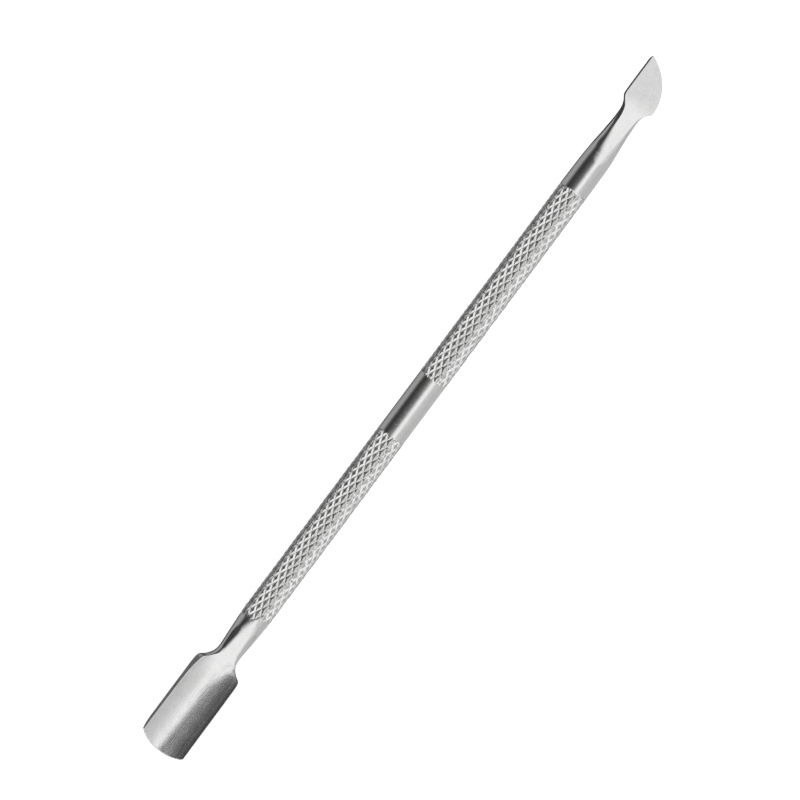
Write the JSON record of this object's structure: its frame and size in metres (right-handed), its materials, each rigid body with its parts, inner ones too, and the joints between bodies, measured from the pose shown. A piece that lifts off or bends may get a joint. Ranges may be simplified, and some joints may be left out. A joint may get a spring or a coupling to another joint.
{
  "type": "cuticle pusher",
  "caption": "Double-ended steel cuticle pusher: knurled bar with a smooth middle band, a wide shallow trough at one end and a curved cuticle knife at the other.",
  "frame": {"origin": "centre of the smooth middle band on the bar's axis, half way along the tool", "axes": "+X along the bar's axis towards the knife tip; +Y towards the knife's straight back; +Z out of the hollow side of the trough"},
  "size_m": [0.13, 0.0082, 0.0048],
  "materials": {
    "handle_steel": "turned and polished stainless steel, male diamond knurl on both bands, fine lines around the bar",
    "forged_steel": "forged stainless steel, satin polished with fine lengthwise lines and a slight grain",
    "silver_braze": "silver braze, bright and slightly warm, hidden inside the sockets"
  },
  "bodies": {
    "root": {"handle": "handle_steel", "pusher_end": "forged_steel", "blade_end": "forged_steel", "pusher_end_braze": "silver_braze", "blade_end_braze": "silver_braze"}
  },
  "joints": []
}
